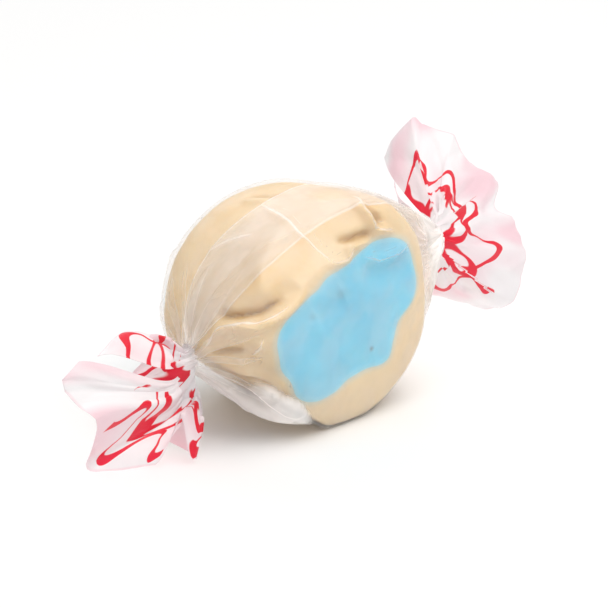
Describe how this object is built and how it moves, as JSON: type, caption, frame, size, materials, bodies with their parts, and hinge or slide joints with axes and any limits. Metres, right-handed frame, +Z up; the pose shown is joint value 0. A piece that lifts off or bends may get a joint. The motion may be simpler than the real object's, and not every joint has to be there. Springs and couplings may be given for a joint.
{
  "type": "salt water taffy",
  "caption": "Short plug of two-colour pulled taffy, blue core in a tan layer, in a sheet of waxed paper twisted shut at both ends.",
  "frame": {"origin": "on the ground, under the middle of the bounding box of the whole wrapped piece", "axes": "+X from the drooping tail to the raised tail, -Y the way the cut face that is seen looks, +Z up"},
  "size_m": [0.0596, 0.019, 0.0221],
  "materials": {
    "tan_taffy": "soft pulled sugar with a satin surface, slightly translucent",
    "blue_taffy": "soft pulled sugar with a satin surface, a few darker specks",
    "waxed_paper": "thin waxed paper, see-through where it clings and white where it is lifted or double, red print on the tails"
  },
  "bodies": {
    "root": {"tan_layer": "tan_taffy", "blue_core": "blue_taffy", "paper_wrap": "waxed_paper"}
  },
  "joints": []
}
